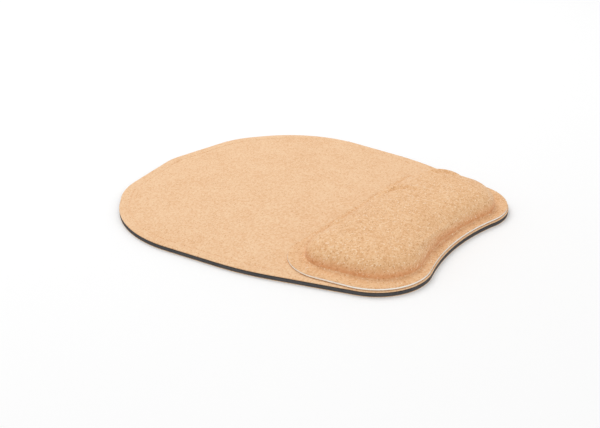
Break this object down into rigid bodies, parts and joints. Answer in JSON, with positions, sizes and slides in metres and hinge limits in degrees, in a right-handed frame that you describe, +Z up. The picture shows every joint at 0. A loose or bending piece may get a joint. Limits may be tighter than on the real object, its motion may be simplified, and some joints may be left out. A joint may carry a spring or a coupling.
{
  "type": "desk mat",
  "caption": "Flat cork desk mat for a mouse, with a padded cork wrist rest bonded along its hollowed front edge and a foam rubber base.",
  "frame": {"origin": "on the desk, under the middle of the mat's bounding box", "axes": "+X to the user's right along the wrist rest, +Y away from the user, +Z up"},
  "size_m": [0.222, 0.25, 0.0209],
  "materials": {
    "base_rubber": "matte",
    "adhesive": "matte",
    "cloth": "matte",
    "cork": "matte",
    "cork_cover": "matte",
    "foam": "matte"
  },
  "bodies": {
    "root": {"base_pad": "base_rubber", "base_film": "adhesive", "mat_cloth": "cloth", "mat_cork": "cork", "rest_film": "adhesive", "rest_sheet": "cloth", "rest_core": "foam", "rest_lining": "cloth", "rest_cover": "cork_cover"}
  },
  "joints": []
}
